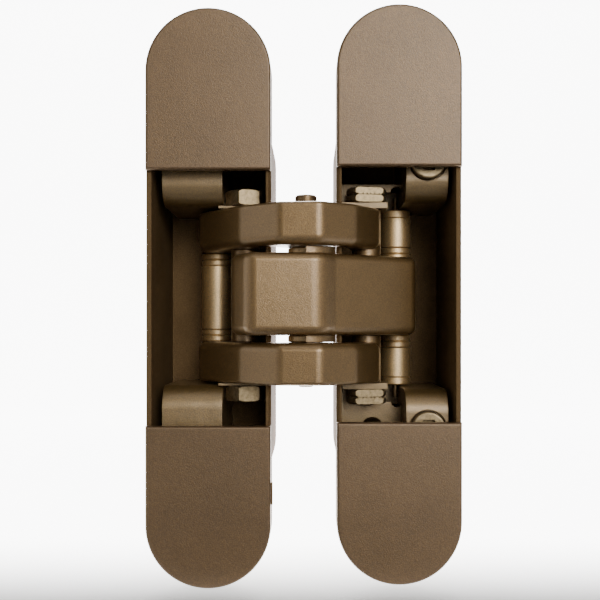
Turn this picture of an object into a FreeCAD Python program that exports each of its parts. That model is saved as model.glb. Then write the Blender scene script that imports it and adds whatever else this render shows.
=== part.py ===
import FreeCAD, Part
import math
import os

# A concealed door hinge with seven pins, standing fully open, in millimetres.
# X runs across the gap between the frame (negative) and the door (positive), Y runs into the
# wood, and Z runs up along the hinge. Shapes are drawn from the middle of the arms, with Y = 0
# at the front of the cases, and are moved at the end to the centre of the frame's screw holes.
os.makedirs("parts", exist_ok=True)
V = FreeCAD.Vector

# Cases: two cast shells with a deep pocket for the arms and shallow ends for the screws
body_length = 111.0
body_width = 24.0
case_wall = 1.0
pocket_length = 83.0
pocket_depth = 27.0
pocket_floor = 1.0
pocket_round = 1.6
end_depth = 5.0
end_floor = 2.5
case_gap = 12.6
side_setting = -0.4
height_setting = 0.7
rim_chamfer = 0.6
mouth_length = 49.0
screw_spacing_x = 11.0
screw_spacing_z = 94.0
screw_hole_r = 2.3
screw_head_r = 4.5
countersink_depth = 1.6

# Caps: covers clipped over the screws
cap_thickness = 1.4
cap_round = 0.5
cap_leg_length = 8.0
cap_leg_depth = 2.2
cap_leg_thickness = 1.0
cap_leg_gap = 0.1
cap_leg_from_mouth = 8.5
pry_lug_length = 4.2
pry_lug_height = 0.35
pry_lug_from_mouth = 10.8
pry_lug_root = 0.5
pry_lug_back = 0.1

# Linkage: where the pins stand with the hinge open, mirrored on the door's side
spindle_x = 12.1
spindle_y = 7.6
centre_y = 3.0
end_pin_x = 18.8
end_pin_y = 16.8
axle_x = 17.8
axle_y = 23.05
fold_share = 0.594

# Pins and their running clearances
spindle_r = 1.5
centre_pin_r = 1.5
end_pin_r = 1.5
axle_r = 1.2
tail_r = 0.55
tail_length = 2.7
pin_chamfer = 0.25
running_gap = 0.05
seat_gap = 0.02
loop_gap = 0.5
face_gap = 0.05
centre_head_r = 2.1
centre_head_height = 2.2
centre_foot = 0.7
frame_pin_foot = 0.45
door_pin_foot = 1.1
spindle_stand_out = 0.5
axle_end_gap = 0.1

# Arms
central_width = 15.6
arm_gap = 1.4
outer_width = 8.0
knuckle_r = 2.9
eye_r = 3.3
boss_r = 3.3
path_gap = 0.35
arm_over_wall = 0.4
central_edge_round = 1.7
outer_inner_round = 1.7
outer_outer_round = 0.7

# The arms' fronts, seen from above: each is met from the knuckle on, by its x, y and rounding
central_toe_x = 14.3
central_toe_y = 0.8
central_toe_round = 4.0
central_heel_x = 10.8
central_front_y = 5.8
central_heel_round = 3.2
central_ridge_x = 2.95
central_ridge_round = 4.7
central_brow_x = 5.6
central_brow_y = 3.15
central_brow_round = 2.0
central_cheek_x = 21.9
central_cheek_y = 6.2
central_cheek_round = 1.9
central_end_y = 12.0
outer_toe_x = 14.4
outer_toe_y = 4.4
outer_toe_round = 2.2
outer_heel_x = 9.6
outer_heel_y = 1.8
outer_heel_round = 2.6
outer_ridge_x = 2.8
outer_ridge_y = 6.1
outer_ridge_round = 2.8
outer_brow_x = 5.0
outer_brow_y = 5.5
outer_brow_round = 3.0
outer_bend_x = 12.6
outer_bend_y = 0.4
outer_bend_round = 5.0
outer_cheek_x = 22.0
outer_cheek_y = 11.0
outer_cheek_round = 2.4
outer_end_y = 14.5

# The arms' undersides: steps from the spindle, the walls and the centre
hook_out = 1.1
hook_drop = 5.3
hook_low = 2.6
hook_in = 1.5
hook_high = 2.4
wall_room = 1.3
wall_step = 0.6
wall_edge = 0.7
wall_lap = 0.5
near_lap = 1.1
near_step = 0.3
near_drop = 1.4
centre_washer_r = 3.5
knuckle_rise_gap = 0.1
pad_r = 6.6
pad_gap = 0.15

# Links and the washers beside them
link_foot_r = 2.4
frame_washer_thickness = 1.24
door_washer_thickness = 1.28
door_top_washer = 1.65
door_link_drop = 0.7
washer_chamfer = 0.2
washer_step = 0.1

# Inserts: the blocks in each pocket that hold the spindle and the link's axle
frame_insert_gap = 0.6
door_insert_gap = 1.4
frame_side_gap = 1.5
door_side_gap = 1.0
insert_wall_gap = 0.3
insert_front = 3.0
insert_round = 4.5
insert_height = 12.0
frame_shoulder_gap = 0.2
door_shoulder_gap = 3.45
ledge_gap = 0.15
ledge_overlap = 0.05
ledge_front = 5.2
ledge_overhang = 1.0
plate_thickness = 1.7
upper_plate_height = 4.6
rear_bar_depth = 5.1
rear_bar_height = 4.2
plate_hole_r = 2.25
plate_hole_x = 1.5
plate_hole_z = 8.4
notch_r = 1.2
notch_x = 18.7
notch_z = 3.0

# Clamping nuts, the collars with two flats and the socket screws
nut_corner_r = 4.1
nut_height = 3.0
nut_chamfer = 0.35
nut_back_gap = 0.25
frame_nut_turn = 15
collar_r = 4.0
collar_flat = 2.86
collar_turn = 10
collar_height = 1.45
lock_nut_height = 1.4
lock_teeth = 24
lock_tooth_depth = 0.35
lock_tooth_half = 0.2
socket_head_r = 3.4
socket_head_height = 2.8
socket_shank_r = 1.9
socket_shank_length = 8.0
socket_corner_r = 2.1
socket_depth = 1.7
socket_seat_depth = 1.5
socket_head_round = 0.4
socket_from_side = 4.0
socket_z = 7.5
socket_clearance = 0.3

# Places worked out from the sizes above
central_half = central_width / 2
outer_low = central_half + arm_gap
outer_high = outer_low + outer_width
frame_face = outer_high + frame_insert_gap
door_face = outer_high + door_insert_gap
ledge_low = outer_high + ledge_gap
frame_ledge_face = frame_face + ledge_overlap
door_ledge_face = door_face - ledge_overlap
frame_link_half = outer_low - 2 * (frame_washer_thickness + face_gap) - face_gap
door_link_low = central_half + 2 * (door_washer_thickness + face_gap) + face_gap
door_link_high = outer_high - door_link_drop
mouth_half = mouth_length / 2
frame_x = side_setting - case_gap / 2 - body_width / 2
door_x = side_setting + case_gap / 2 + body_width / 2
inner_half_width = body_width / 2 - case_wall
frame_wall_outer = case_gap / 2 - side_setting
frame_wall_inner = frame_wall_outer + case_wall
door_wall_outer = case_gap / 2 + side_setting
door_wall_inner = door_wall_outer + case_wall
insert_back = pocket_depth - pocket_floor - insert_wall_gap
plate_front = spindle_y + nut_corner_r + nut_back_gap
socket_x = door_x + inner_half_width - door_side_gap - socket_from_side
spindle_reach = math.hypot(spindle_x, spindle_y - centre_y)
sweep_start = math.degrees(math.atan2(spindle_y - centre_y, spindle_x))
sweep_angle = 180 * (2 * fold_share - 1)


def box(x0, x1, y0, y1, z0, z1):
    return Part.makeBox(x1 - x0, y1 - y0, z1 - z0, V(x0, y0, z0))


def rod(x, y, r, z0, z1):
    return Part.makeCylinder(r, z1 - z0, V(x, y, z0))


def rod_along_y(x, z, r, y0, y1):
    return Part.makeCylinder(r, y1 - y0, V(x, y0, z), V(0, 1, 0))


def cone_along_y(x, z, r0, r1, y0, y1):
    return Part.makeCone(r0, r1, y1 - y0, V(x, y0, z), V(0, 1, 0))


def chamfered_rod(x, y, r, z0, z1, chamfer):
    shape = rod(x, y, r, z0, z1)
    rims = [e for e in shape.Edges if isinstance(e.Curve, Part.Circle)]
    return shape.makeChamfer(chamfer, rims)


def washer(x, y, outer_r, inner_r, z0, z1):
    ring = chamfered_rod(x, y, outer_r, z0, z1, washer_chamfer)
    return ring.cut(rod(x, y, inner_r, z0 - 1, z1 + 1))


def hexagon(x, y, corner_r, z0, z1, turn):
    turns = [math.radians(turn + 60 * i) for i in range(6)]
    points = [V(x + corner_r * math.cos(t), y + corner_r * math.sin(t), z0) for t in turns]
    return Part.Face(Part.makePolygon(points + points[:1])).extrude(V(0, 0, z1 - z0))


def mirror_x(shape):
    return shape.mirror(V(0, 0, 0), V(1, 0, 0))


def mirror_z(shape):
    return shape.mirror(V(0, 0, 0), V(0, 0, 1))


def both_ends(shape):
    return Part.makeCompound([shape, mirror_z(shape)])


def outline(corners, z):
    # a closed wire of straight runs; each corner is (x, y, radius of its rounding)
    runs = []
    count = len(corners)
    for i, (x, y, radius) in enumerate(corners):
        here = V(x, y, z)
        back = (V(*corners[i - 1][:2], z) - here).normalize()
        ahead = (V(*corners[(i + 1) % count][:2], z) - here).normalize()
        if radius == 0:
            runs.append((here, None, here))
            continue
        half_turn = back.getAngle(ahead) / 2
        reach = radius / math.tan(half_turn)
        bisector = (back + ahead).normalize()
        middle = here + bisector * (radius / math.sin(half_turn) - radius)
        runs.append((here + back * reach, middle, here + ahead * reach))
    edges = []
    for i, (start, middle, end) in enumerate(runs):
        if middle is not None:
            edges.append(Part.Arc(start, middle, end).toShape())
        edges.append(Part.LineSegment(end, runs[(i + 1) % count][0]).toShape())
    return Part.Wire(edges)


def prism(corners, z0, z1):
    return Part.Face(outline(corners, z0)).extrude(V(0, 0, z1 - z0))


def stadium(length, width, y0, y1):
    r = width / 2
    half = length / 2 - r
    edges = [
        Part.LineSegment(V(-r, y0, -half), V(-r, y0, half)).toShape(),
        Part.Arc(V(-r, y0, half), V(0, y0, length / 2), V(r, y0, half)).toShape(),
        Part.LineSegment(V(r, y0, half), V(r, y0, -half)).toShape(),
        Part.Arc(V(r, y0, -half), V(0, y0, -length / 2), V(-r, y0, -half)).toShape(),
    ]
    return Part.Face(Part.Wire(edges)).extrude(V(0, y1 - y0, 0))


def case():
    # the shell with its gap side towards +X, about its own middle
    shell = stadium(pocket_length, body_width, 0, pocket_depth)
    back = [e for e in shell.Edges if abs(e.BoundBox.YMin - pocket_depth) < 1e-6]
    shell = shell.makeFillet(pocket_round, back)
    shell = shell.fuse(stadium(body_length, body_width, 0, end_depth))
    inner_width = body_width - 2 * case_wall
    shell = shell.cut(stadium(body_length - 2 * case_wall, inner_width, -1, end_depth - end_floor))
    shell = shell.cut(stadium(pocket_length - 2 * case_wall, inner_width, -1, pocket_depth - pocket_floor))
    edge = body_width / 2
    rim = [(edge - rim_chamfer, 0, 0), (edge, rim_chamfer, 0), (edge + 1, rim_chamfer, 0), (edge + 1, -1, 0),
           (edge - rim_chamfer, -1, 0)]
    shell = shell.cut(prism(rim, -mouth_half, mouth_half))
    floor = end_depth - end_floor
    sink = floor + countersink_depth
    for x in (-screw_spacing_x / 2, screw_spacing_x / 2):
        for z in (-screw_spacing_z / 2, screw_spacing_z / 2):
            shell = shell.cut(rod_along_y(x, z, screw_hole_r, 0, end_depth + 1))
            shell = shell.cut(cone_along_y(x, z, screw_head_r, screw_hole_r, floor, sink))
    return shell.removeSplitter()


def cap():
    # the upper cap of a case that stands about X = 0
    plate = stadium(body_length, body_width, -cap_thickness, 0)
    edge = body_width / 2 + 1
    plate = plate.common(box(-edge, edge, -cap_thickness - 1, 1, mouth_half, body_length))
    front = [e for e in plate.Edges if abs(e.BoundBox.YMax + cap_thickness) < 1e-6]
    plate = plate.makeFillet(cap_round, front)
    leg_outer = inner_half_width - cap_leg_gap
    leg_foot = mouth_half + cap_leg_from_mouth
    leg = box(leg_outer - cap_leg_thickness, leg_outer, -cap_thickness / 2, cap_leg_depth, leg_foot,
              leg_foot + cap_leg_length)
    return plate.fuse([leg, mirror_x(leg)]).removeSplitter()


def pry_lug():
    edge = body_width / 2
    foot = mouth_half + pry_lug_from_mouth
    front = cap_round - cap_thickness
    return box(edge - pry_lug_root, edge + pry_lug_height, front, -pry_lug_back, foot, foot + pry_lug_length)


def spindle_path(z0, z1):
    # the room that the far case's spindle sweeps through an arm as the hinge closes
    room = spindle_r + path_gap
    ring = rod(0, centre_y, spindle_reach + room, z0, z1).cut(rod(0, centre_y, spindle_reach - room, z0, z1))
    far = 3 * spindle_reach
    turns = [sweep_start, sweep_start + sweep_angle / 2, sweep_start + sweep_angle]
    ends = [(far * math.cos(math.radians(t)), centre_y + far * math.sin(math.radians(t)), 0) for t in turns]
    path = ring.common(prism([(0, centre_y, 0)] + ends, z0, z1))
    for t in (turns[0], turns[-1]):
        x = spindle_reach * math.cos(math.radians(t))
        y = centre_y + spindle_reach * math.sin(math.radians(t))
        path = path.fuse(rod(x, y, room, z0, z1))
    return path


def near_chain(edge, z, chain):
    # true where an edge at height z follows the chain of outline corners
    if abs(edge.BoundBox.ZMin - z) > 1e-6 or abs(edge.BoundBox.ZMax - z) > 1e-6:
        return False
    middle = edge.valueAt((edge.FirstParameter + edge.LastParameter) / 2)
    line = Part.makePolygon([V(x, y, z) for x, y, _ in chain])
    return line.distToShape(Part.Vertex(middle))[0] < knuckle_r / 2


def arm(front, underside, z0, z1, low_round, high_round):
    # an arm's block, its front edges rounded, drawn from the outline's front and underside
    block = prism(front + underside, z0, z1)
    for z, radius in ((z0, low_round), (z1, high_round)):
        block = block.makeFillet(radius, [e for e in block.Edges if near_chain(e, z, front)])
    return block


def arm_eyes(block, z0, z1, knuckle_low, knuckle_high):
    # the round ends about the spindle, the centre pin and the end pin, then their bores; the knuckle
    # also reaches into the gap beside the next arm
    block = block.fuse([rod(0, centre_y, boss_r, z0, z1), rod(end_pin_x, end_pin_y, eye_r, z0, z1)])
    block = block.cut(spindle_path(z0 - 1, z1 + 1))
    block = block.fuse(rod(-spindle_x, spindle_y, knuckle_r, knuckle_low, knuckle_high))
    block = block.cut(rod(-spindle_x, spindle_y, spindle_r + running_gap, knuckle_low - 1, knuckle_high + 1))
    return block.cut(rod(end_pin_x, end_pin_y, end_pin_r + seat_gap, z0 - 1, z1 + 1))


def underside(near_outer, near_inner, far_outer, far_inner):
    # from the end pin's eye inside the far case, over its wall, round the boss and over the near wall
    lift = -arm_over_wall
    far = [(end_pin_x - eye_r, end_pin_y, 0), (spindle_x + hook_out, end_pin_y - hook_drop, 0),
           (spindle_x + near_step, centre_y + hook_low, 0), (spindle_x - hook_in, centre_y + hook_high, 0),
           (far_inner + wall_room, centre_y + wall_step, 0), (far_inner + wall_edge, lift, 0),
           (far_outer - wall_lap, lift, 0), (boss_r, centre_y, 0)]
    near = [(-boss_r, centre_y, 0), (near_lap - near_outer, lift, 0), (-near_inner - wall_step, lift, 0),
            (-near_inner - wall_step - near_step, lift + near_drop, 0), (knuckle_r - spindle_x, spindle_y, 0)]
    return far + near


def central_arm():
    right = end_pin_x + eye_r
    left = -spindle_x - knuckle_r
    front = [(left, spindle_y, 0), (-central_toe_x, -central_toe_y, central_toe_round),
             (-central_heel_x, -central_front_y, central_heel_round),
             (central_ridge_x, -central_front_y, central_ridge_round),
             (central_brow_x, -central_brow_y, central_brow_round),
             (central_cheek_x, central_cheek_y, central_cheek_round), (right, central_end_y, 0),
             (right, end_pin_y, 0)]
    back = underside(frame_wall_outer, frame_wall_inner, door_wall_outer, door_wall_inner)
    block = arm(front, back, -central_half, central_half, central_edge_round, central_edge_round)
    rise = outer_low - knuckle_rise_gap
    # a raised pad beside each centre washer, on the far case's side, closes the gap to the outer arm
    pad = rod(0, centre_y, pad_r, central_half, rise).common(prism(front + back, central_half, rise))
    pad = pad.common(box(0, pad_r, centre_y - pad_r, centre_y + pad_r, central_half, rise))
    pad = pad.cut(rod(0, centre_y, centre_washer_r + pad_gap, central_half - 1, rise + 1))
    block = block.fuse([pad, mirror_z(pad)])
    block = arm_eyes(block, -central_half, central_half, -rise, rise)
    return block.cut(rod(0, centre_y, centre_pin_r + seat_gap, -central_half - 1, central_half + 1))


def outer_arm():
    # the upper one of the two like arms, drawn with its knuckle on the frame's side
    left = -spindle_x - knuckle_r
    right = end_pin_x + eye_r
    front = [(left, spindle_y, 0), (-outer_toe_x, outer_toe_y, outer_toe_round),
             (-outer_heel_x, -outer_heel_y, outer_heel_round),
             (-outer_ridge_x, -outer_ridge_y, outer_ridge_round),
             (outer_brow_x, -outer_brow_y, outer_brow_round),
             (outer_bend_x, -outer_bend_y, outer_bend_round),
             (outer_cheek_x, outer_cheek_y, outer_cheek_round), (right, outer_end_y, 0),
             (right, end_pin_y, 0)]
    back = underside(door_wall_outer, door_wall_inner, frame_wall_outer, frame_wall_inner)
    block = arm(front, back, outer_low, outer_high, outer_inner_round, outer_outer_round)
    block = arm_eyes(block, outer_low, outer_high, central_half + knuckle_rise_gap, outer_high)
    block = block.cut(rod(0, centre_y, centre_pin_r + running_gap, outer_low - 1, outer_high + 1))
    return mirror_x(block)


def central_pin():
    top = outer_high + face_gap
    pin = chamfered_rod(0, centre_y, centre_pin_r, -outer_high - centre_foot, top, pin_chamfer)
    head = chamfered_rod(0, centre_y, centre_head_r, top, top + centre_head_height, pin_chamfer)
    return pin.fuse(head).removeSplitter()


def central_washers():
    low = central_half + face_gap
    return both_ends(washer(0, centre_y, centre_washer_r, centre_pin_r + seat_gap, low, outer_low - face_gap))


def frame_link_pin():
    reach = outer_high + frame_pin_foot
    return chamfered_rod(-end_pin_x, end_pin_y, end_pin_r, -reach, reach, pin_chamfer)


def door_link_pin():
    reach = outer_high + door_pin_foot
    pin = chamfered_rod(end_pin_x, end_pin_y, end_pin_r, -reach, reach, pin_chamfer)
    tail = rod(end_pin_x, end_pin_y, tail_r, -reach - tail_length, reach + tail_length)
    return pin.fuse(tail).removeSplitter()


def washer_stack(x, start, thickness, count):
    rings = []
    for i in range(count):
        low = start + face_gap / 2 + i * (thickness + face_gap)
        rings.append(washer(x, end_pin_y, eye_r - washer_step, end_pin_r + seat_gap, low, low + thickness))
    return rings


def frame_link_washers():
    rings = washer_stack(-end_pin_x, frame_link_half + face_gap / 2, frame_washer_thickness, 2)
    return Part.makeCompound(rings + [mirror_z(r) for r in rings])


def door_link_washers():
    rings = washer_stack(end_pin_x, central_half, door_washer_thickness, 2)
    rings += washer_stack(end_pin_x, door_link_high + face_gap / 2, door_top_washer, 1)
    return Part.makeCompound(rings + [mirror_z(r) for r in rings])


def link(side, z0, z1):
    # a bar from the end pin's barrel to its axle, with a wide bore about the end pin
    eye = (side * end_pin_x, end_pin_y)
    foot = (side * axle_x, axle_y)
    sides = [(eye[0] - eye_r, eye[1], 0), (eye[0] + eye_r, eye[1], 0),
             (foot[0] + link_foot_r, foot[1], 0), (foot[0] - link_foot_r, foot[1], 0)]
    bar = prism(sides, z0, z1)
    bar = bar.fuse([rod(*eye, eye_r, z0, z1), rod(*foot, link_foot_r, z0, z1)])
    bar = bar.cut(rod(*eye, end_pin_r + loop_gap, z0 - 1, z1 + 1))
    return bar.cut(rod(*foot, axle_r + running_gap, z0 - 1, z1 + 1)).removeSplitter()


def insert_blocks(left, right, shoulder, face, ledge_left, ledge_face):
    # what both inserts share, drawn on the frame's side: a shoulder with a round nose, the ledge that the
    # spindle stands in, and the bar that holds the link's axle
    block = box(left, shoulder, insert_front, insert_back, face, face + insert_height)
    at_nose = lambda b: b.YMax - insert_front < 1e-6 and b.ZMax - face < 1e-6
    nose = [e for e in block.Edges if at_nose(e.BoundBox)]
    block = block.makeFillet(insert_round, nose)
    ledge_back = plate_front + ledge_overhang
    ledge = box(ledge_left, right, ledge_front, ledge_back, ledge_low, ledge_face)
    bar = box(shoulder - 1, right, insert_back - rear_bar_depth, insert_back, face, face + rear_bar_height)
    block = block.fuse([ledge, bar])
    block = block.cut(rod(-spindle_x, spindle_y, spindle_r + seat_gap, ledge_low - 1, ledge_face + 1))
    return block.cut(rod(-axle_x, axle_y, axle_r + seat_gap, face - 1, face + rear_bar_height + 1))


def frame_insert():
    left = frame_x - inner_half_width + frame_side_gap
    right = frame_x + inner_half_width - insert_wall_gap
    shoulder = -spindle_x - nut_corner_r - frame_shoulder_gap
    return insert_blocks(left, right, shoulder, frame_face, shoulder - 1, frame_ledge_face).removeSplitter()


def door_insert(plate_height):
    # drawn on the frame's side: it has a plate behind the nut and a seat for a screw's head
    left = -door_x - inner_half_width + door_side_gap
    right = -door_x + inner_half_width - insert_wall_gap
    nut_side = -spindle_x - nut_corner_r
    shoulder = nut_side - door_shoulder_gap
    seat = insert_front + socket_seat_depth
    plate_back = plate_front + plate_thickness
    block = insert_blocks(left, right, shoulder, door_face, nut_side, door_ledge_face)
    plate = box(shoulder - 1, right, plate_front, plate_back, ledge_low, door_face + plate_height)
    # the plate's lower edge stands clear of the pin's tail, round a small notch
    notch_top = door_face + notch_z
    plate = plate.cut(box(shoulder - 1, nut_side, plate_front - 1, plate_back + 1, ledge_low - 1, notch_top))
    plate = plate.cut(rod_along_y(-notch_x, notch_top, notch_r, plate_front - 1, plate_back + 1))
    hole_x = -spindle_x - plate_hole_x
    hole_z = door_face + plate_hole_z
    plate = plate.cut(rod_along_y(hole_x, hole_z, plate_hole_r, plate_front - 1, plate_back + 1))
    block = block.fuse(plate)
    head_z = door_face + socket_z
    block = block.cut(rod_along_y(-socket_x, head_z, socket_head_r + socket_clearance, -1, seat))
    block = block.cut(rod_along_y(-socket_x, head_z, socket_shank_r + running_gap, seat - 1, insert_back + 1))
    return mirror_x(block.removeSplitter())


def frame_nut():
    low = frame_ledge_face + face_gap
    high = low + nut_height
    nut = hexagon(-spindle_x, spindle_y, nut_corner_r, low, high, frame_nut_turn)
    nut = nut.common(chamfered_rod(-spindle_x, spindle_y, nut_corner_r, low, high, nut_chamfer))
    return nut.cut(rod(-spindle_x, spindle_y, spindle_r + running_gap, low - 1, high + 1))


def flatted_ring(low, high, bore_r):
    # a round ring on the door's spindle, with a flat for a spanner at its front and back
    ring = chamfered_rod(spindle_x, spindle_y, collar_r, low, high, nut_chamfer)
    flats = box(spindle_x - collar_r, spindle_x + collar_r, spindle_y - collar_flat, spindle_y + collar_flat,
                low, high)
    flats.rotate(V(spindle_x, spindle_y, 0), V(0, 0, 1), collar_turn)
    return ring.common(flats).cut(rod(spindle_x, spindle_y, bore_r, low - 1, high + 1))


def collar():
    low = door_ledge_face + face_gap
    return flatted_ring(low, low + collar_height, spindle_r + seat_gap)


def lock_nut():
    # the ring beyond the collar, with radial grooves in the face that meets it
    low = door_ledge_face + collar_height + 2 * face_gap
    ring = flatted_ring(low, low + lock_nut_height, spindle_r + running_gap)
    groove = Part.makePolygon([V(spindle_x, spindle_y - lock_tooth_half, low - lock_tooth_depth),
                               V(spindle_x, spindle_y, low + lock_tooth_depth),
                               V(spindle_x, spindle_y + lock_tooth_half, low - lock_tooth_depth),
                               V(spindle_x, spindle_y - lock_tooth_half, low - lock_tooth_depth)])
    groove = Part.Face(groove).extrude(V(2 * collar_r, 0, 0))
    grooves = []
    for i in range(lock_teeth):
        turned = groove.copy()
        turned.rotate(V(spindle_x, spindle_y, 0), V(0, 0, 1), 360 * i / lock_teeth)
        grooves.append(turned)
    return ring.cut(grooves)


def socket_screw():
    x = socket_x
    z = door_face + socket_z
    seat = insert_front + socket_seat_depth - face_gap
    front = seat - socket_head_height
    head = rod_along_y(x, z, socket_head_r, front, seat)
    rim = [e for e in head.Edges if isinstance(e.Curve, Part.Circle) and e.BoundBox.YMax < front + 1e-6]
    head = head.makeFillet(socket_head_round, rim)
    screw = head.fuse(rod_along_y(x, z, socket_shank_r, seat, seat + socket_shank_length))
    turns = [math.radians(60 * i) for i in range(7)]
    sides = [(x + socket_corner_r * math.cos(t), z + socket_corner_r * math.sin(t)) for t in turns]
    points = [V(a, front - 1, b) for a, b in sides]
    socket = Part.Face(Part.makePolygon(points)).extrude(V(0, 1 + socket_depth, 0))
    return screw.removeSplitter().cut(socket)


def spindle(x, reach):
    return chamfered_rod(x, spindle_y, spindle_r, -reach, reach, pin_chamfer)


def axle(x, face):
    reach = face + rear_bar_height - axle_end_gap
    return chamfered_rod(x, axle_y, axle_r, -reach, reach, pin_chamfer)


shell = case()
frame_shell = shell.copy()
frame_shell.translate(V(frame_x, 0, 0))
door_shell = mirror_x(shell)
door_shell.translate(V(door_x, 0, 0))
upper_cap = cap()
frame_cap = upper_cap.copy()
frame_cap.translate(V(frame_x, 0, 0))
door_cap = upper_cap.copy()
door_cap.translate(V(door_x, 0, 0))
lugged_cap = upper_cap.fuse(pry_lug()).removeSplitter()
lugged_cap.translate(V(frame_x, 0, 0))
upper_outer_arm = outer_arm()
frame_block = frame_insert()
upper_door_block = door_insert(upper_plate_height)
lower_door_block = mirror_z(door_insert(insert_height))
upper_frame_nut = frame_nut()
upper_lock_nut = lock_nut()
upper_screw = socket_screw()
upper_door_link = link(1, door_link_low, door_link_high)
frame_reach = frame_ledge_face + nut_height + spindle_stand_out
door_reach = door_ledge_face + collar_height + lock_nut_height + spindle_stand_out

pieces = {
    "frame_case": frame_shell,
    "door_case": door_shell,
    "frame_cap_upper": frame_cap,
    "frame_cap_lower": mirror_z(lugged_cap),
    "door_cap_upper": door_cap,
    "door_cap_lower": mirror_z(door_cap),
    "frame_insert_upper": frame_block,
    "frame_insert_lower": mirror_z(frame_block),
    "door_insert_upper": upper_door_block,
    "door_insert_lower": lower_door_block,
    "frame_spindle": spindle(-spindle_x, frame_reach),
    "door_spindle": spindle(spindle_x, door_reach),
    "frame_link_axle": axle(-axle_x, frame_face),
    "door_link_axle": axle(axle_x, door_face),
    "frame_clamp_nut_upper": upper_frame_nut,
    "frame_clamp_nut_lower": mirror_z(upper_frame_nut),
    "door_lock_nut_upper": upper_lock_nut,
    "door_lock_nut_lower": mirror_z(upper_lock_nut),
    "door_collars": both_ends(collar()),
    "door_socket_screw_upper": upper_screw,
    "door_socket_screw_lower": mirror_z(upper_screw),
    "central_arm": central_arm(),
    "outer_arm_upper": upper_outer_arm,
    "outer_arm_lower": mirror_z(upper_outer_arm),
    "central_pin": central_pin(),
    "central_washers": central_washers(),
    "frame_link": link(-1, -frame_link_half, frame_link_half),
    "frame_link_pin": frame_link_pin(),
    "frame_link_washers": frame_link_washers(),
    "door_link_upper": upper_door_link,
    "door_link_lower": mirror_z(upper_door_link),
    "door_link_pin": door_link_pin(),
    "door_link_washers": door_link_washers(),
}

fixed = ("frame_case", "frame_cap_upper", "frame_cap_lower")
for name, shape in pieces.items():
    height = 0 if name in fixed else height_setting
    shape.translate(V(-frame_x, -end_depth, height))
    shape.exportStep(f"parts/{name}.step")
    print(name, len(shape.Solids), round(shape.Volume, 1), shape.isValid())
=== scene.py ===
import math

import bpy
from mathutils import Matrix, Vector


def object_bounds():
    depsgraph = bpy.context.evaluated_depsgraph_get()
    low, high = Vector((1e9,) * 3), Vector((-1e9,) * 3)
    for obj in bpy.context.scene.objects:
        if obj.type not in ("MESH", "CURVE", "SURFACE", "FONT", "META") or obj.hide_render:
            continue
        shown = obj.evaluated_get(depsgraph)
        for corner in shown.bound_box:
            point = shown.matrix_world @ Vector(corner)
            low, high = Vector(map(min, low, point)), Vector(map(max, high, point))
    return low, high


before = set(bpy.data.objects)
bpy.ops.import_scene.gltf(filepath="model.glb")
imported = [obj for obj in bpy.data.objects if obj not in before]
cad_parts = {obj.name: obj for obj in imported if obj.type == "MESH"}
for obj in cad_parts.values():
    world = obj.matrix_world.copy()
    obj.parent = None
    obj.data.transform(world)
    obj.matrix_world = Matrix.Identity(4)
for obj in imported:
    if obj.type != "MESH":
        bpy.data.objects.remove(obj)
cad_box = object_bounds()

# Everything is in metres. The hinge stands fully open, with its front towards -Y, where the camera is.
MM = 0.001
FRONT_Y = -5.0 * MM  # the open front of the cases
PIN_X = 18.7 * MM  # the axis of the central pin, on which the arms cross


# Materials

# how many spots of each kind lie side by side in a metre
FLAKES = 5200.0
GRIT = 1500.0
SPOTS = 1300.0
WAVES = 260.0
CLOUDS = 90.0
RINGS = (900.0, 900.0, 5200.0)

LACQUER_METAL = 0.85
STEEL_METAL = 0.95
STEEL_EDGE = 0.12 * MM
EDGE_SAMPLES = 6
WHITE = (1.0, 1.0, 1.0)

# the colour sockets of a mix node, whose names it uses more than once
MIX_A, MIX_B, MIX_RESULT = 6, 7, 2


def link(output, socket):
    socket.id_data.links.new(output, socket)


def new_material(name):
    material = bpy.data.materials.new(name)
    material.use_nodes = True
    nodes = material.node_tree.nodes
    nodes.clear()
    out = nodes.new("ShaderNodeOutputMaterial")
    shader = nodes.new("ShaderNodeBsdfPrincipled")
    link(shader.outputs["BSDF"], out.inputs["Surface"])
    place = nodes.new("ShaderNodeTexCoord").outputs["Object"]
    return material, nodes, shader, place


def noise(nodes, place, scale, detail, rough):
    node = nodes.new("ShaderNodeTexNoise")
    node.inputs["Scale"].default_value = scale
    node.inputs["Detail"].default_value = detail
    node.inputs["Roughness"].default_value = rough
    link(place, node.inputs["Vector"])
    return node.outputs["Fac"]


def stretched(nodes, place, scale):
    node = nodes.new("ShaderNodeMapping")
    node.inputs["Scale"].default_value = scale
    link(place, node.inputs["Vector"])
    return node.outputs["Vector"]


def ramp(nodes, value, stops):
    node = nodes.new("ShaderNodeValToRGB")
    elements = node.color_ramp.elements
    while len(elements) < len(stops):
        elements.new(0.5)
    for element, (at, colour) in zip(elements, stops):
        element.position = at
        element.color = (*colour, 1.0)
    link(value, node.inputs["Fac"])
    return node.outputs["Color"]


def multiplied(nodes, factor, base, over):
    """The colour base, multiplied by over as far as factor says."""
    node = nodes.new("ShaderNodeMix")
    node.data_type = "RGBA"
    node.blend_type = "MULTIPLY"
    node.inputs["Factor"].default_value = factor
    link(base, node.inputs[MIX_A])
    link(over, node.inputs[MIX_B])
    return node.outputs[MIX_RESULT]


def spread(nodes, value, low, high):
    """A value of 0 to 1, spread evenly from low to high."""
    node = nodes.new("ShaderNodeMapRange")
    node.inputs["To Min"].default_value = low
    node.inputs["To Max"].default_value = high
    link(value, node.inputs["Value"])
    return node.outputs["Result"]


def rise(nodes, value, start, end, low=0.0, high=1.0):
    """Low below start, high above end, and a smooth step between them."""
    node = nodes.new("ShaderNodeMapRange")
    node.interpolation_type = "SMOOTHSTEP"
    node.inputs["From Min"].default_value = start
    node.inputs["From Max"].default_value = end
    node.inputs["To Min"].default_value = low
    node.inputs["To Max"].default_value = high
    link(value, node.inputs["Value"])
    return node.outputs["Result"]


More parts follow.
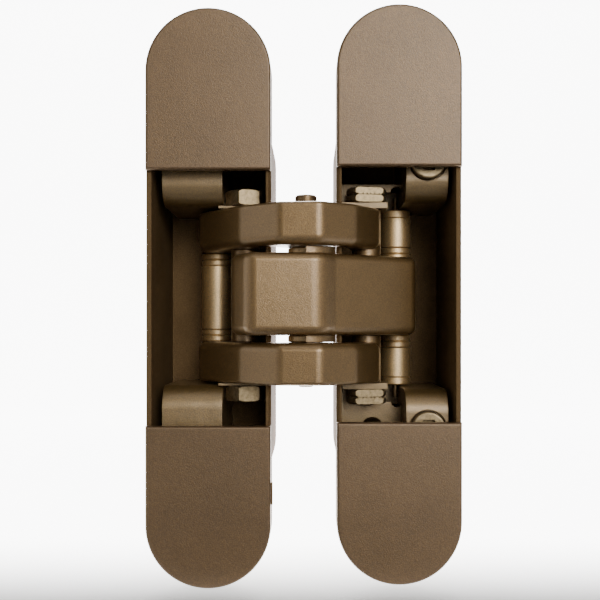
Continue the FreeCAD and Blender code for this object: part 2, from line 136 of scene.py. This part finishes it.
def calculate(nodes, kind, *values):
    """A math node on numbers and outputs."""
    node = nodes.new("ShaderNodeMath")
    node.operation = kind
    for socket, value in zip(node.inputs, values):
        if isinstance(value, float):
            socket.default_value = value
        else:
            link(value, socket)
    return node.outputs[0]


def relief(nodes, edge, heights):
    """The surface's normal: softened edges, and each (height, strength, distance) laid on the one before."""
    rounded = nodes.new("ShaderNodeBevel")
    rounded.samples = EDGE_SAMPLES
    rounded.inputs["Radius"].default_value = edge
    normal = rounded.outputs["Normal"]
    for height, strength, distance in heights:
        node = nodes.new("ShaderNodeBump")
        node.inputs["Strength"].default_value = strength
        node.inputs["Distance"].default_value = distance
        link(height, node.inputs["Height"])
        link(normal, node.inputs["Normal"])
        normal = node.outputs["Normal"]
    return normal


def lacquer(name, dark, light, roughness, grain, cast, gloss, edge,
            metallic=LACQUER_METAL, coat=1.0, coat_roughness=0.40, graze=WHITE):
    """Bronze lacquer with fine metal flakes over a cast surface, under a clear coat.

    It varies from dark to light. Grain says how strongly the flakes show, cast how uneven the metal
    below is, gloss the coat's refractive index, edge the radius of the softened edges, and graze the
    tint of the light that strikes at a low angle.
    """
    material, nodes, shader, place = new_material(name)
    flakes = noise(nodes, place, FLAKES, detail=1.0, rough=0.6)
    grit = noise(nodes, place, GRIT, detail=3.0, rough=0.65)
    clouds = noise(nodes, place, CLOUDS, detail=4.0, rough=0.55)
    waves = noise(nodes, place, WAVES, detail=2.0, rough=0.5)
    tone = ramp(nodes, clouds, [(0.32, dark), (0.68, light)])
    speckle = ramp(nodes, flakes, [(0.34, (0.50, 0.48, 0.46)), (0.50, WHITE), (0.70, (1.75, 1.72, 1.66))])
    link(multiplied(nodes, 0.45 * grain, tone, speckle), shader.inputs["Base Color"])
    link(spread(nodes, grit, roughness - 0.07, roughness + 0.09), shader.inputs["Roughness"])
    shader.inputs["Metallic"].default_value = metallic
    shader.inputs["Coat Weight"].default_value = coat
    shader.inputs["Coat IOR"].default_value = gloss
    shader.inputs["Coat Roughness"].default_value = coat_roughness
    shader.inputs["Specular Tint"].default_value = (*graze, 1.0)
    normal = relief(nodes, edge, [
        (waves, cast, 0.12 * MM),
        (grit, 0.35, 0.05 * MM),
        (flakes, 0.6 * grain, 0.04 * MM),
    ])
    link(normal, shader.inputs["Normal"])
    link(normal, shader.inputs["Coat Normal"])
    return material


def turned(name, dark, light, roughness):
    """Turned or rolled steel under a thin bronze tone, with fine rings round its upright axis."""
    material, nodes, shader, place = new_material(name)
    rings = noise(nodes, stretched(nodes, place, RINGS), 1.0, detail=3.0, rough=0.6)
    spots = noise(nodes, place, SPOTS, detail=3.0, rough=0.7)
    link(ramp(nodes, spots, [(0.35, dark), (0.62, light)]), shader.inputs["Base Color"])
    link(spread(nodes, spots, roughness - 0.08, roughness + 0.12), shader.inputs["Roughness"])
    shader.inputs["Metallic"].default_value = STEEL_METAL
    normal = relief(nodes, STEEL_EDGE, [(rings, 0.25, 0.04 * MM), (spots, 0.3, 0.04 * MM)])
    link(normal, shader.inputs["Normal"])
    return material


bronze_cap = lacquer(
    "bronze_cap", dark=(0.108, 0.058, 0.015), light=(0.128, 0.070, 0.020), roughness=0.48,
    grain=1.0, cast=0.12, gloss=1.62, edge=0.16 * MM, graze=(0.75, 0.62, 0.48))
bronze_case = lacquer(
    "bronze_case", dark=(0.105, 0.067, 0.032), light=(0.140, 0.091, 0.045), roughness=0.60,
    grain=0.8, cast=0.5, gloss=1.25, edge=0.3 * MM, metallic=0.45, coat=0.0, graze=(0.30, 0.21, 0.13))
bronze_arm = lacquer(
    "bronze_arm", dark=(0.195, 0.116, 0.038), light=(0.225, 0.136, 0.047), roughness=0.42,
    grain=1.0, cast=0.30, gloss=1.62, edge=0.26 * MM, coat_roughness=0.30)
bronze_insert = lacquer(
    "bronze_insert", dark=(0.181, 0.109, 0.023), light=(0.205, 0.123, 0.025), roughness=0.46,
    grain=1.0, cast=0.9, gloss=1.83, edge=0.18 * MM)
# Painted light: the links and washers are the same bronze as the arms, but their base colour is made about
# three times lighter to stand in for the brighter light on the barrels.
bronze_link_painted_lighter = lacquer(
    "bronze_link_painted_lighter", dark=(0.58, 0.397, 0.17), light=(0.654, 0.447, 0.192), roughness=0.42,
    grain=0.8, cast=0.35, gloss=1.93, edge=0.18 * MM)
nut_steel = turned("nut_steel", dark=(0.210, 0.160, 0.090), light=(0.360, 0.280, 0.165), roughness=0.40)
pin_steel = turned("pin_steel", dark=(0.16, 0.105, 0.055), light=(0.26, 0.18, 0.10), roughness=0.42)

finishes = {
    bronze_cap: ["frame_cap_upper", "frame_cap_lower", "door_cap_upper", "door_cap_lower"],
    bronze_case: ["frame_case", "door_case"],
    bronze_arm: ["central_arm", "outer_arm_upper", "outer_arm_lower"],
    bronze_insert: ["frame_insert_upper", "frame_insert_lower", "door_insert_upper", "door_insert_lower"],
    bronze_link_painted_lighter: ["frame_link", "door_link_upper", "door_link_lower",
                  "frame_link_washers", "door_link_washers", "central_washers"],
    nut_steel: ["frame_clamp_nut_upper", "frame_clamp_nut_lower", "door_collars", "door_lock_nut_upper",
                "door_lock_nut_lower", "door_socket_screw_upper", "door_socket_screw_lower"],
    pin_steel: ["frame_spindle", "door_spindle", "frame_link_axle", "door_link_axle",
                "central_pin", "frame_link_pin", "door_link_pin"],
}
for material, names in finishes.items():
    for name in names:
        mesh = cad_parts[name].data
        mesh.materials.clear()
        mesh.materials.append(material)


# The floor and the light

SWEEP_GAP = 0.5 * MM  # from the hinge down to the floor
SWEEP_HALF_WIDTH = 1.6
SWEEP_FRONT_Y = -1.2
SWEEP_BEND_Y = 0.30  # where the floor starts to bend up into the wall
SWEEP_BEND_RADIUS = 0.35
SWEEP_WALL_HEIGHT = 1.6
SWEEP_STEPS = 24

# The floor is darker in front of the hinge, where its light would reach the hinge from below.
FLOOR_SHADE_Y = (-0.03, 0.02)
FLOOR_SHADES = (0.27, 0.80)
# Behind the hinge the floor and the wall glow, and the glow fades out to both sides.
GLOW_Y = (-0.02, 0.04)
GLOW_ASIDE = (0.28, 0.42)
GLOW = 8.0


def sweep_mesh():
    """A floor that bends up into a wall behind the hinge."""
    floor_z = cad_box[0].z - SWEEP_GAP
    profile = [(SWEEP_FRONT_Y, floor_z), (SWEEP_BEND_Y, floor_z)]
    for i in range(1, SWEEP_STEPS + 1):
        a = math.radians(90 * i / SWEEP_STEPS)
        profile.append((SWEEP_BEND_Y + SWEEP_BEND_RADIUS * math.sin(a),
                        floor_z + SWEEP_BEND_RADIUS * (1 - math.cos(a))))
    profile.append((SWEEP_BEND_Y + SWEEP_BEND_RADIUS, floor_z + SWEEP_WALL_HEIGHT))
    points = [(x, y, z) for x in (-SWEEP_HALF_WIDTH, SWEEP_HALF_WIDTH) for y, z in profile]
    count = len(profile)
    faces = [(i, i + 1, count + i + 1, count + i) for i in range(count - 1)]
    mesh = bpy.data.meshes.new("floor_sweep")
    mesh.from_pydata(points, [], faces)
    for face in mesh.polygons:
        face.use_smooth = True
    return mesh


def pale_floor():
    """A matt, nearly white surface that glows behind the hinge like a lit studio wall."""
    material, nodes, shader, place = new_material("pale_floor")
    cloudy = noise(nodes, place, 3.0, detail=2.0, rough=0.5)
    tone = ramp(nodes, cloudy, [(0.3, (0.97, 0.97, 0.97)), (0.7, WHITE)])
    shader.inputs["Roughness"].default_value = 0.9
    shader.inputs["Emission Color"].default_value = (*WHITE, 1.0)
    split = nodes.new("ShaderNodeSeparateXYZ")
    link(place, split.inputs["Vector"])
    shade = rise(nodes, split.outputs["Y"], *FLOOR_SHADE_Y, *FLOOR_SHADES)
    link(calculate(nodes, "MULTIPLY", shade, tone), shader.inputs["Base Color"])
    behind = rise(nodes, split.outputs["Y"], *GLOW_Y, 0.0, GLOW)
    aside = rise(nodes, calculate(nodes, "ABSOLUTE", split.outputs["X"]), *GLOW_ASIDE, 1.0, 0.0)
    link(calculate(nodes, "MULTIPLY", behind, aside), shader.inputs["Emission Strength"])
    return material


def studio(patches, tint, ambient):
    """The room's light: an even ambient, and soft-edged patches on the sky.

    Each patch is (azimuth from, to, elevation from, to, softness, strength), with angles in degrees.
    Azimuth 0 is the viewer's side, and +90 is the viewer's right.
    """
    world = bpy.data.worlds.new("studio")
    world.use_nodes = True
    nodes = world.node_tree.nodes
    nodes.clear()
    out = nodes.new("ShaderNodeOutputWorld")
    sky = nodes.new("ShaderNodeBackground")
    place = nodes.new("ShaderNodeTexCoord")
    split = nodes.new("ShaderNodeSeparateXYZ")
    link(place.outputs["Generated"], split.inputs["Vector"])
    towards_viewer = calculate(nodes, "MULTIPLY", split.outputs["Y"], -1.0)
    azimuth = calculate(nodes, "ARCTAN2", split.outputs["X"], towards_viewer)
    elevation = calculate(nodes, "ARCSINE", split.outputs["Z"])

    def step(angle, at, softness):
        return rise(nodes, angle, math.radians(at - softness), math.radians(at + softness))

    def between(angle, low, high, softness):
        after = calculate(nodes, "SUBTRACT", 1.0, step(angle, high, softness))
        return calculate(nodes, "MULTIPLY", step(angle, low, softness), after)

    def added(a, b):
        node = nodes.new("ShaderNodeVectorMath")
        node.operation = "ADD"
        link(a, node.inputs[0])
        link(b, node.inputs[1])
        return node.outputs[0]

    base = nodes.new("ShaderNodeCombineXYZ")
    for socket, value in zip(base.inputs, ambient):
        socket.default_value = value
    total = base.outputs[0]
    for left, right, bottom, top, softness, strength in patches:
        inside = calculate(nodes, "MULTIPLY", between(azimuth, left, right, softness),
                           between(elevation, bottom, top, softness))
        patch = nodes.new("ShaderNodeVectorMath")
        patch.operation = "SCALE"
        patch.inputs[0].default_value = [strength * c for c in tint]
        link(inside, patch.inputs["Scale"])
        total = added(total, patch.outputs[0])
    link(total, sky.inputs["Color"])
    link(sky.outputs["Background"], out.inputs["Surface"])
    bpy.context.scene.world = world


sweep = bpy.data.objects.new("floor_sweep", sweep_mesh())
sweep.data.materials.append(pale_floor())
bpy.context.scene.collection.objects.link(sweep)

# The strongest patches, right of the camera and a little above it, are the key light. The others are
# dim panels around it, on both sides and above.
WARM = (1.0, 0.97, 0.92)
AMBIENT = (0.085, 0.078, 0.068)
studio([
    (-110, -50, -4, 40, 10, 0.85),
    (-50, -18, -2, 18, 8, 0.15),
    (-18, 4, 14, 38, 8, 0.64),
    (4, 18, -2, 12, 5, 6.08),
    (4, 18, 12, 28, 6, 12.43),
    (4, 18, 28, 50, 8, 0.67),
    (18, 32, -2, 12, 5, 1.19),
    (18, 32, 12, 28, 6, 14.26),
    (18, 40, 28, 50, 8, 0.02),
    (32, 60, -2, 30, 8, 0.5),
    (60, 110, -10, 40, 10, 0.25),
    (-60, 60, 50, 66, 8, 1.29),
    (-180, 180, 66, 95, 8, 0.25),
], WARM, AMBIENT)


# The camera looks straight at the front. The photograph is 600 pixels wide and high, and shows
# 5.2 pixels for each mm of the cases' front. The lens's axis meets it right of and below its middle.
PHOTO_SIZE = 600.0
PIXELS_PER_MM = 5.2
AXIS_PIXEL = (310.0, 330.0)
DISTANCE_MM = 166.0
AXIS_RIGHT_OF_PIN = 0.8 * MM
AXIS_Z = -6.1 * MM
SENSOR = 36.0

camera_data = bpy.data.cameras.new("camera")
camera_data.sensor_width = SENSOR
camera_data.lens = SENSOR * PIXELS_PER_MM * DISTANCE_MM / PHOTO_SIZE
camera_data.shift_x = (PHOTO_SIZE / 2 - AXIS_PIXEL[0]) / PHOTO_SIZE
camera_data.shift_y = (AXIS_PIXEL[1] - PHOTO_SIZE / 2) / PHOTO_SIZE
camera_data.clip_start = 5.0 * MM
camera = bpy.data.objects.new("camera", camera_data)
camera.location = (PIN_X + AXIS_RIGHT_OF_PIN, FRONT_Y - DISTANCE_MM * MM, AXIS_Z)
camera.rotation_euler = (math.radians(90), 0, 0)
bpy.context.scene.collection.objects.link(camera)
bpy.context.scene.camera = camera
